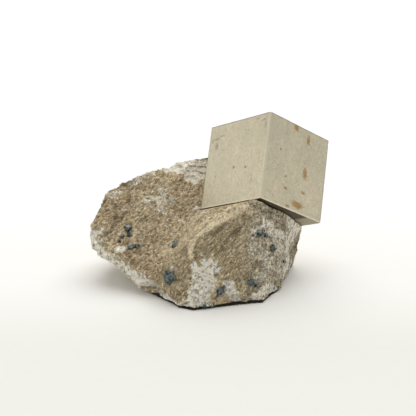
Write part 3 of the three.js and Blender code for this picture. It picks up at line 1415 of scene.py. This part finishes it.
PATCH_ROWS = {  # how far each patch reaches, how strong it is, and the places on its line
    Skin.CRUST: (
        (3.4, 1.0, (-2.6, 1.6, 2.2), (-1.3, 2.6, 6.6), (0.2, 3.4, 10.0)),
        (1.1, 0.9, (-3.6, 4.0, 11.0), (-2.4, 3.6, 9.0)),
        (1.5, 0.85, (5.3, 4.6, 5.8), (6.6, 4.4, 3.2), (8.0, 4.0, 1.2)),
        (1.3, 0.8, (12.6, 5.6, 1.2), (14.4, 6.5, 2.8), (16.2, 9.4, 2.9), (18.2, 12.4, 1.4)),
        (3.3, 1.0, (-32.2, 22.7, 12.0), (-31.2, 21.8, 9.7), (-29.0, 20.6, 7.9), (-26.2, 18.6, 6.6),
         (-23.2, 16.2, 5.2)),
        (2.3, 1.0, (-23.2, 16.2, 4.8), (-20.6, 14.4, 3.4), (-18.0, 12.6, 4.2)),
        (1.3, 1.0, (-17.0, 11.9, 3.4), (-14.8, 10.6, 2.2), (-12.4, 8.0, 1.0), (-9.6, 4.4, 0.3),
         (-7.2, 1.6, 0.2), (-4.7, 0.4, 0.2)),
        (1.2, 0.9, (-17.4, 12.6, 4.6), (-15.8, 11.4, 4.2), (-14.4, 9.8, 2.6)),
        (1.5, 0.9, (-24.2, 17.6, 10.8)),
        (1.1, 0.7, (-2.0, 0.4, 0.4), (3.0, 1.8, 0.2), (8.0, 3.4, 0.1), (13.0, 5.0, 0.2)),
        (3.2, 0.95, (-11.0, 42.6, 29.3), (-5.3, 40.9, 29.4), (-2.3, 40.1, 28.2), (-4.4, 38.8, 27.2)),
        (1.4, 0.55, (-22.7, 37.4, 24.9), (-16.9, 39.8, 27.0)),
        (1.1, 0.6, (-27.6, 33.0, 21.9), (-25.4, 34.6, 23.2)),
        (0.9, 0.5, (-14.9, 30.6, 20.6), (-14.0, 28.0, 18.8)),
        (0.8, 0.5, (-13.2, 33.6, 22.6), (-11.2, 32.6, 22.2)),
        (1.5, 0.75, (15.2, 12.6, 20.4), (17.4, 15.8, 18.3)),
        (1.4, 0.85, (19.0, 17.4, 16.4), (20.6, 19.4, 14.6)),
        (1.4, 0.75, (22.4, 23.4, 16.6), (24.4, 26.2, 14.6)),
        (2.4, 0.95, (26.4, 29.6, 12.8), (24.8, 26.6, 11.0), (23.6, 23.6, 9.6), (22.8, 21.4, 7.8)),
        (1.0, 0.7, (22.0, 19.9, 6.0), (21.2, 18.6, 2.6)),
        (0.8, 0.9, (-3.4, 29.1, 19.7)),
        (0.8, 0.9, (-1.7, 22.5, 20.2)),
        (0.42, 0.9, (-9.9, 6.2, 8.8), (-9.2, 5.9, 10.6)),
        (3.0, 0.9, (-3.0, 42.0, 30.5), (2.0, 41.0, 31.0)),
    ),
    Skin.RED: (
        (1.6, 0.9, (-19.6, 13.8, 3.2), (-17.6, 12.4, 3.0)),
        (5.5, 0.9, (-17.3, 16.2, 10.0), (-12.5, 11.0, 6.5)),
        (4.5, 0.7, (-27.5, 25.5, 17.0), (-25.0, 31.0, 20.5)),
        (4.5, 0.6, (-8.0, 36.5, 25.0), (-4.0, 33.0, 23.5)),
    ),
    Skin.CLOUD: (
        (3.0, 0.8, (-13.9, 35.3, 24.0), (-13.8, 32.4, 21.8), (-13.6, 28.7, 19.2)),
        (2.2, 1.0, (-17.2, 31.7, 21.4), (-10.9, 31.4, 21.4)),
        (1.2, 0.7, (-19.0, 30.0, 20.0), (-17.0, 28.5, 19.0)),
        (2.6, 0.9, (22.5, 21.0, 13.0), (24.6, 24.5, 9.0), (23.1, 21.6, 5.2)),
        (3.0, 0.75, (11.4, 9.6, 14.5), (16.5, 12.5, 9.4), (14.5, 8.0, 6.4)),
        (2.6, 0.8, (17.0, 14.5, 17.0), (21.4, 19.1, 9.0), (20.5, 17.0, 5.0)),
        (1.6, 0.8, (13.0, 10.5, 20.0), (12.0, 9.3, 17.0)),
    ),
    Skin.SMOOTH: (
        (4.4, 1.0, (-0.4, 5.2, 15.6), (1.8, 6.2, 17.6), (7.2, 9.0, 19.0)),
        (3.6, 1.0, (4.5, 6.8, 15.9), (1.5, 5.0, 13.0)),
        (2.4, 0.9, (-5.3, 5.9, 13.2), (-6.6, 5.1, 10.1), (-7.9, 4.1, 6.6), (-8.5, 3.2, 3.0)),
    ),
    Skin.STRIP: (
        (3.4, 1.0, (7.4, 10.8, 25.0), (2.1, 11.2, 22.1), (-2.7, 12.3, 19.0), (-8.3, 15.5, 13.4),
         (-12.7, 17.2, 10.8)),
        (2.6, 0.9, (-0.8, 22.3, 20.8), (-5.1, 24.6, 16.9), (-8.9, 22.6, 14.6)),
    ),
    Skin.CREST: (
        (0.75, 1.0, (10.4, 11.8, 25.5), (8.0, 10.6, 24.2), (5.3, 9.6, 22.8), (2.6, 8.0, 21.7),
         (-0.8, 6.6, 20.2)),
        (0.7, 0.9, (-0.8, 6.6, 20.2), (-3.4, 7.0, 17.8), (-4.5, 6.6, 15.8), (-4.5, 5.4, 12.8)),
        (0.6, 0.6, (7.4, 11.5, 25.3), (3.7, 12.4, 23.1), (0.0, 11.4, 21.0), (-3.8, 12.4, 17.9)),
    ),
    Skin.CRACK: (
        (0.55, 0.9, (8.5, 9.5, 19.8), (6.4, 8.4, 18.5), (4.8, 7.2, 16.9), (3.7, 6.2, 15.0)),
        (0.5, 0.8, (5.3, 9.0, 21.6), (3.7, 7.8, 20.3), (1.6, 6.7, 19.3)),
        (0.6, 0.9, (-26.3, 30.3, 20.0), (-26.0, 26.6, 17.5), (-26.9, 23.2, 15.0), (-29.0, 21.4, 13.8)),
        (0.5, 0.8, (-23.3, 28.5, 18.7), (-24.6, 26.0, 17.0), (-27.4, 24.8, 16.4)),
    ),
    Skin.LAYERS: (
        (6.0, 1.0, (-12.0, 42.0, 29.0), (-3.0, 39.0, 27.5)),
    ),
}
PATCHES = tuple(
    Patch(skin, reach, strength, tuple(line))
    for skin, rows in PATCH_ROWS.items()
    for reach, strength, *line in rows
)


@dataclass(frozen=True)
class Dent:
    """A hollow in the block, or a swelling where its depth is below zero, in design millimetres."""

    place: tuple
    reach: float
    depth: float


DENTS = (
    Dent((27.5, 29.5, 6.0), 6.0, 1.6),
    Dent((24.6, 25.2, 9.0), 5.0, 1.5),
    Dent((-23.6, 36.8, 24.7), 3.4, 1.8),
    Dent((-28.5, 34.0, 22.9), 2.3, -1.0),
    Dent((-30.3, 31.0, 20.8), 2.0, 0.5),
    Dent((-32.3, 24.8, 15.6), 3.6, -0.7),
    Dent((-29.2, 20.6, 7.5), 2.6, -0.3),
    Dent((14.5, 11.5, 26.5), 3.0, 0.5),
    Dent((17.5, 13.5, 25.0), 3.0, 0.6),
    Dent((1.0, 41.5, 32.0), 4.5, 1.6),
    Dent((-18.6, 12.6, 3.0), 2.0, -1.2),
    Dent((-15.1, 10.4, 2.0), 2.0, 3.6),
    Dent((-24.5, 16.6, 5.4), 1.6, 0.7),
    Dent((7.0, 3.6, 0.5), 1.8, 1.4),
)


@dataclass
class MarlStone:
    """The broken block of marl that carries the crystals."""

    grain_size: float = 0.33  # the side of the stone's surface cells
    noise: Noise = Noise(5)
    layer_way: tuple = (0.10, -0.25, 1.0)  # across the layers that the stone broke along
    middle: tuple = (-3.0, 25.0, 9.0)
    reaches: tuple = (34.0, 27.0, 17.0)  # half the block's size
    lump_depth: float = 0.36
    tilt_depth: float = 0.42
    chip_depth: float = 0.24
    fine_depth: float = 0.27
    wrinkle_depth: float = 0.17
    slope_depth: float = 0.05  # how much deeper the wrinkles are on the upper slope
    crumb_depth: float = 0.42
    grit_depth: float = 0.26
    crest_height: float = 0.30
    hole_depth: float = 0.45
    layer_depth: float = 0.45
    layer_pitch: float = 1.25
    band_pitch: float = 1.3
    tuck: float = 2.2  # how far the foot draws in
    clearance: float = 0.25  # how far a socket's wall lies from its crystal's face

    def build(self, finish: Material, cube: LargeCube, crystals: Sequence[CrystalCluster]) -> Object:
        """Makes the stone.

        Args:
            finish: its material.
            cube: the large cube, whose socket is closed up to it.
            crystals: the small crystals, whose sockets are closed in the same way.

        Returns:
            The finished piece.
        """
        stone = make_object("marl_stone", *node_points("matrix_rock"), finish)
        cells = stone.modifiers.new("cells", "REMESH")
        cells.mode = "VOXEL"
        cells.voxel_size = self.grain_size
        bake_modifiers(stone)
        points, normals = mesh_arrays(stone.data)
        masks = self.masks(points, normals)
        body, skin = self._relief(points, normals, masks)
        near_foot = 0.15 + 0.85 * smoothstep(0.05, 1.6, points[:, 2])
        relief = (body + skin) * smoothstep(0.1, 1.2, self._gap(points, cube, crystals)) * near_foot
        relief = np.minimum(relief, (self._gap(points, cube, ()) - 1.0) * 0.5)
        moved = points + normals * relief[:, None]
        moved += self._lip(moved, cube)
        moved = self._closed(moved, points, cube, crystals)
        # the painted contact shadow's share along the foot
        masks["painted_foot_shadow"] = self._tuck(moved, points, normals)
        # the skin's relief, which the finish turns into painted shade and light
        masks["relief"] = skin
        move_points(stone.data, FRAME.to_row(moved))
        if not stone.data.materials:
            stone.data.materials.append(finish)
        for name, values in masks.items():
            set_attribute(stone, name, values)
        self._unwrap(stone, moved)
        shade_smooth(stone)
        return seat(stone, "marl", "matrix_rock")

    def _tuck(self, moved: Array, points: Array, normals: Array) -> Array:
        """Draws the stone's foot in unevenly, and keeps the stone above the floor.

        Args:
            moved: the stone's points, which are changed.
            points: where they were on the plain block.
            normals: which way the plain block faces there.

        Returns:
            How strongly each point takes the painted contact shadow, a dark band along the foot.
        """
        level = np.hypot(*normals.T[:2])
        outwards = unit(normals * np.array([1.0, 1.0, 0.0])) * smoothstep(0.25, 0.6, level)[:, None]
        uneven = self.noise.layered(points * 0.35 + 3.0, 3)
        tuck = self.tuck * smoothstep(0.9 + 0.9 * uneven, 0.1, moved[:, 2])
        painted_foot_shadow = smoothstep(0.8, 0.3, moved[:, 2] - 0.5 * uneven)
        moved[:, :2] -= (outwards * tuck[:, None])[:, :2]
        moved[:, 2] = np.maximum(moved[:, 2], 0.0)
        return painted_foot_shadow

    def masks(self, points: Array, normals: Array) -> dict[str, Array]:
        """How strongly each skin covers each point.

        Args:
            points: where, in design millimetres.
            normals: which way the stone faces there.

        Returns:
            An array for each mask's name.
        """
        ragged = self.noise.layered(points * 0.75, 4)
        covers = {skin.value: np.zeros(len(points)) for skin in Skin}
        for patch in PATCHES:
            name = patch.skin.value
            covers[name] = np.maximum(covers[name], patch.cover(points, ragged))
        low = smoothstep(-0.15, -0.6, normals[:, 2]) * smoothstep(-0.3, 0.3, ragged + 0.15)
        blotches = smoothstep(0.05, 0.45, self.noise.layered(points * 0.16 + 8.0, 4))
        behind = smoothstep(0.0, 0.6, normals[:, 1]) * blotches
        covers["crust"] = np.maximum(covers["crust"], np.maximum(0.75 * low, 0.8 * behind))
        covers["smooth"] *= 1.0 - covers["crust"]
        front = smoothstep(0.2, -0.3, normals[:, 1] + 0.2 * normals[:, 2])
        height = points @ unit(np.array(self.layer_way)) + 0.35 * self.noise.layered(points * 0.45, 3)
        line = np.abs(height / self.band_pitch - np.round(height / self.band_pitch)) * 2.0
        covers["bands"] = covers["layers"] * smoothstep(0.34, 0.1, line) * smoothstep(-0.3, 0.2, ragged)
        covers["right"] = smoothstep(6.0, 15.0, points[:, 0] + 4.0 * ragged) * front
        return covers

    def _relief(self, points: Array, normals: Array, masks: dict[str, Array]) -> tuple[Array, Array]:
        """How far each point stands out from the plain block.

        Args:
            points: where, in design millimetres.
            normals: which way the stone faces there.
            masks: how strongly each skin covers each point.

        Returns:
            The stone's broken shape, and the roughness of its skin.
        """
        noise = self.noise
        crust, layers = masks["crust"], masks["layers"]
        rough = 1.0 - 0.6 * masks["smooth"]
        lumps = noise.layered(points * 0.22, 4, 0.55)
        tilt = noise.cells(noise.warp(points * 0.28, 0.35))[1]
        chips = noise.cells(noise.warp(points * 0.9, 0.35))[1]
        stretched = points - STONE_GRAIN * ((points @ STONE_GRAIN) * 0.84)[:, None]
        wrinkles = noise.ridged(noise.warp(stretched * 1.25, 0.35), 4)
        wrinkles -= np.median(wrinkles)
        slope = smoothstep(0.3, 0.7, normals[:, 2])
        fine = noise.layered(points * 1.7, 3, 0.7)
        coarse = noise.cells(noise.warp(points * 1.2, 0.3))[0]
        tiny = noise.cells(points * 2.1)[0]
        crumbs = self.crumb_depth * (0.5 - coarse) + self.grit_depth * (0.5 - tiny)
        wrinkled = (self.wrinkle_depth + self.slope_depth * slope) * wrinkles
        skin = rough * (self.chip_depth * chips + self.fine_depth * fine + wrinkled) * (1.0 - 0.4 * crust)
        skin += (crust + 0.3 * masks["cloud"]) * (0.06 + crumbs)
        skin += self.crest_height * masks["crest"] - self.crest_height * masks["crack"]
        holes, chosen = noise.cells(points * 0.55 + 5.0)
        skin -= self.hole_depth * smoothstep(0.28, 0.08, holes) * (chosen > 0.0) * rough
        height = points @ unit(np.array(self.layer_way)) + 0.5 * noise.layered(points * 0.3, 3)
        saw = height / self.layer_pitch - np.floor(height / self.layer_pitch)
        body = self.lump_depth * lumps + self.tilt_depth * rough * tilt
        body += layers * (self.layer_depth * (saw - 0.45) * smoothstep(1.0, 0.85, saw))
        for dent in DENTS:
            near = np.linalg.norm(points - np.array(dent.place), axis=1) / dent.reach
            body -= dent.depth * np.exp(-near * near)
        return body, skin

    @staticmethod
    def _lip(points: Array, cube: LargeCube) -> Array:
        """How the stone's rim comes forward and up under the large cube's right side, short of touching it.

        Args:
            points: the stone's points.
            cube: the large cube.

        Returns:
            How far each point moves.
        """
        line = ((18.0, 17.6, 22.4), (22.8, 24.2, 18.2), (26.6, 30.2, 13.8))
        forward, rise, reach, clearance = 1.7, 2.3, 2.8, 0.3
        along = np.interp(points[:, 0], (16.5, 19.2, 23.0, 26.5), (0.0, 0.45, 1.0, 1.1))
        share = along * np.exp(-((line_distance(points, line) / reach) ** 2))
        shift = share[:, None] * np.array([-0.1, -forward, 0.0])
        below = -cube.sides[2] / 2 - cube.local(points + shift)[:, 2]
        shift[:, 2] = np.clip(np.minimum(rise * share, (below - clearance) / cube.axes[2, 2]), 0.0, None)
        return shift

    @staticmethod
    def _gap(points: Array, cube: LargeCube, crystals: Sequence[CrystalCluster]) -> Array:
        """How far each point is from the nearest crystal.

        Args:
            points: the stone's points.
            cube: the large cube.
            crystals: the small crystals that count as well.

        Returns:
            A distance in millimetres for each point, below 0 inside a crystal.
        """
        gap = (np.abs(cube.local(points)) - cube.sides / 2).max(1)
        for crystal in crystals:
            local = np.abs((points - crystal.centre) @ crystal.axes)
            gap = np.minimum(gap, local.max(1) - crystal.size / 2)
        return gap

    def _closed(
        self, moved: Array, points: Array, cube: LargeCube, crystals: Sequence[CrystalCluster]
    ) -> Array:
        """Closes the gaps round the crystals, by drawing the walls of their sockets just inside them.

        Args:
            moved: the stone's points, which are changed.
            points: where they were on the plain block.
            cube: the large cube.
            crystals: the small crystals.

        Returns:
            The changed points.
        """
        local = cube.local(points)
        half = cube.sides / 2
        depth = np.abs(local) - half
        side = depth.argmax(1)
        rows = np.flatnonzero((depth.max(1) < 0.5) & (local[:, 2] > 0.4 - half[2]))
        target = local[rows]
        pick = (np.arange(len(rows)), side[rows])
        target[pick] = np.sign(target[pick]) * (half[side[rows]] - self.clearance)
        moved[rows] = cube.centre + target @ cube.axes.T
        corners = np.array([cube.corner(*signs) for signs in ((-1, 1, -1), (-1, -1, -1), (1, -1, -1))])
        edge = [np.interp(moved[:, 0], corners[:, 0], corners[:, k]) for k in (1, 2)]
        ahead = edge[0] - moved[:, 1]
        below = edge[1] + 0.22 * ahead - self.clearance
        between = (moved[:, 0] > corners[0, 0]) & (moved[:, 0] < corners[2, 0])
        rows = (ahead > -1.0) & (ahead < 7.0) & between
        moved[:, 2] = np.where(rows, np.minimum(moved[:, 2], below), moved[:, 2])
        for crystal in crystals:
            offset = points - crystal.centre
            inside = np.flatnonzero(np.abs(offset @ crystal.axes).max(1) < crystal.size / 2 + 0.5)
            moved[inside] = crystal.centre + offset[inside] * 0.6
        return moved

    def _unwrap(self, stone: Object, points: Array) -> None:
        """Lays the stone's surface out on six sheets, one for each side of a box round it.

        Args:
            stone: the stone.
            points: its points, in design millimetres.
        """
        mesh = stone.data
        loops = read(mesh.loops, "vertex_index", kind=np.int32)
        totals = read(mesh.polygons, "loop_total", kind=np.int32)
        owner = np.repeat(np.arange(len(totals)), totals)
        rays = (points - np.array(self.middle)) / np.array(self.reaches)
        centres = np.stack([np.bincount(owner, rays[loops, k]) for k in range(3)], -1)
        axis = np.abs(centres).argmax(1)[owner]
        sign = np.sign(centres)[owner, axis]
        ray = rays[loops]
        rows = np.arange(len(loops))
        depth = np.maximum(np.abs(ray[rows, axis]), 0.05)
        flat = np.stack([ray[rows, (axis + 1) % 3], ray[rows, (axis + 2) % 3]], -1) / depth[:, None]
        widest = 1.3
        set_uv(stone, on_sheets(np.clip(flat, -widest, widest) / widest, np.stack([axis, sign > 0], -1)))


@dataclass
class CrustGrains:
    """Loose white grains on the crusted parts of the stone."""

    per_square_mm: float = 2.6
    grain_side: float = 0.24
    seed: int = 4

    @staticmethod
    def tree() -> Tree:
        """The node tree that scatters grains over a surface where its crust mask is strong.

        Returns:
            The tree. Its inputs are the stone, how many grains there are to a square metre, their size,
            a seed and the finish.
        """
        inputs = {
            "Mesh": "Geometry",
            "Grains per square metre": "Float",
            "Grain size": "Float",
            "Seed": "Int",
            "Finish": "Material",
        }
        tree, n, given, out = new_tree("scattered_grains", "Geometry", inputs, {"Mesh": "Geometry"})
        stone, density, size, seed, finish = given
        mask = n.node("GeometryNodeInputNamedAttribute", {"Name": "crust"}, data_type="FLOAT").outputs[0]
        share = n.node("ShaderNodeMapRange", {"Value": mask, "From Min": 0.45, "From Max": 0.85}).outputs[0]
        grain = n.node("GeometryNodeMeshIcoSphere", {"Radius": 1.0, "Subdivisions": 1}).outputs[0]
        turn = n.random("FLOAT_VECTOR", (0.0, 0.0, 0.0), (6.3, 6.3, 6.3), seed)
        stretch = n.random("FLOAT_VECTOR", (0.35, 0.35, 0.25), (1.1, 0.9, 0.7), n.plus(seed, 3.0))
        scaled = n.node("ShaderNodeVectorMath", {0: stretch, "Scale": size}, operation="SCALE").outputs[0]
        density = n.times(share, density)
        grains = n.scatter(stone, density, seed, Instance=grain, Rotation=turn, Scale=scaled)
        n.feed(out.inputs[0], n.paint(grains, finish))
        return tree

    def build(self, stone: Object, finish: Material) -> Object:
        """Makes the grains.

        Args:
            stone: the finished stone.
            finish: the grains' material.

        Returns:
            The finished piece.
        """
        grains = link("crust_grains", stone.data.copy())
        apply_tree(grains, self.tree(), [self.per_square_mm / MM**2, self.grain_side * MM, self.seed, finish])
        bake_modifiers(grains)
        points, _ = mesh_arrays(grains.data)
        points[:, 2] = np.maximum(points[:, 2], 0.0)
        move_points(grains.data, points)
        for name in [layer.name for layer in grains.data.uv_layers]:
            grains.data.uv_layers.remove(grains.data.uv_layers[name])
        return seat(grains, "marl")


# ---- the studio ----


@dataclass
class Studio:
    """A pale floor, painted darker in front of and near the specimen as shade, soft light all round with a
    wide lamp above, and the camera.
    """

    camera_place: tuple = (0.0, -244.41, 98.16)
    camera_tilt: float = 74.0
    lens: float = 86.54
    floor_radius: float = 4.0
    lamp_strength: float = 2.0
    lamp_spread: float = 66.0
    lamp_tilt: tuple = (-22.0, 8.0)
    sky: float = 0.40  # the light from above, besides the lamp
    low_sky: float = 0.86  # the light from near the horizon

    def build(self) -> None:
        """Makes the floor, the light and the camera."""
        self._floor()
        self._light()
        scene = bpy.context.scene
        camera = link("camera", bpy.data.cameras.new("camera"))
        camera.data.lens = self.lens
        camera.data.sensor_width = 36.0
        camera.data.clip_start, camera.data.clip_end = 0.01, 20.0
        camera.location = Vector(FRAME.to_row(self.camera_place))
        camera.rotation_euler = Euler((math.radians(self.camera_tilt), 0.0, 0.0))
        scene.camera = camera
        scene.view_settings.view_transform = "Standard"
        scene.view_settings.look = "None"

    def _floor(self) -> None:
        """A wide round sheet of warm white card, painted darker in front of and near the specimen as shade,
        and pure white behind it and further off.
        """
        corners = 96
        turn = np.linspace(0.0, 2.0 * math.pi, corners, endpoint=False)
        rim = np.stack([np.cos(turn), np.sin(turn), np.zeros(corners)], -1) * self.floor_radius
        mesh = bpy.data.meshes.new("floor")
        mesh.from_pydata([tuple(p) for p in rim], [], [tuple(range(corners))])
        material, n, shader = new_material("white_card")
        fibre = n.noise(n.place(), 400.0, 3.0)
        back = n.node("ShaderNodeSeparateXYZ", {0: n.place()}).outputs[1]
        # painted shade: the card is darker in front of the specimen and near it, and turns pure white behind
        # it and further off
        shaded_card = n.blend(fibre, colour(238, 237, 229), colour(240, 239, 232))
        shaded_card = n.blend(n.ramp(back, -0.055, 0.0), shaded_card, colour(251, 250, 246))
        away = n.node("ShaderNodeVectorMath", {0: n.place()}, operation="LENGTH").outputs["Value"]
        plain = n.most(n.ramp(back, 0.0, 0.1), n.ramp(away, 0.12, 0.4))
        n.feed(shader.inputs["Base Color"], n.blend(plain, shaded_card, colour(255, 255, 255)))
        shader.inputs["Roughness"].default_value = 0.9
        shader.inputs["Specular IOR Level"].default_value = 0.1
        mesh.materials.append(material)
        link("floor", mesh)

    def _light(self) -> None:
        """White light all round, a little stronger from the left and the back, and a wide soft lamp above."""
        scene = bpy.context.scene
        world = bpy.data.worlds.new("studio")
        world.use_nodes = True
        scene.world = world
        world.node_tree.nodes.clear()
        n = Nodes(world.node_tree)
        way = n.node("ShaderNodeSeparateXYZ", {0: n.node("ShaderNodeTexCoord").outputs["Generated"]})
        band = n.ramp(way.outputs[2], 0.30, 0.6, self.low_sky, self.sky)
        strength = n.times(band, n.ramp(way.outputs[0], -0.9, 0.9, 1.16, 0.80))
        strength = n.times(strength, n.ramp(way.outputs[1], -0.8, 0.1, 0.80, 1.0))
        light = n.node("ShaderNodeBackground", {"Color": (1.0, 1.0, 1.0, 1.0), "Strength": strength})
        n.feed(n.node("ShaderNodeOutputWorld").inputs[0], light.outputs[0])
        lamp = bpy.data.lights.new("wide_lamp", "SUN")
        lamp.energy = self.lamp_strength
        lamp.angle = math.radians(self.lamp_spread)
        link("wide_lamp", lamp).rotation_euler = Euler([math.radians(a) for a in (*self.lamp_tilt, 0.0)])


def main() -> None:
    """Builds the specimen piece by piece, then the studio round it."""
    logging.basicConfig(level=logging.INFO, format="%(message)s")
    marl, pyrite, tarnish = MarlFinish().build(), PyriteFinish().build(), TarnishFinish().build()
    cube = LargeCube.from_node("pyrite_cube")
    names = sorted(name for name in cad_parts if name.startswith("small_pyrite_"))
    crystals = [CrystalCluster.from_node(name) for name in names]
    stone = MarlStone().build(marl, cube, crystals)
    CrustGrains().build(stone, marl)
    cube.build(pyrite)
    for crystal in crystals:
        crystal.build(tarnish)
    for index, (place, size) in enumerate(CRYSTAL_SPECKS):
        name, seed = f"crystal_speck_{index + 1}", FIRST_SPECK_SEED + index
        CrystalCluster(name, np.array(place), cube.axes, size, seed).build(tarnish)
    Studio().build()


if __name__ == "__main__":
    main()
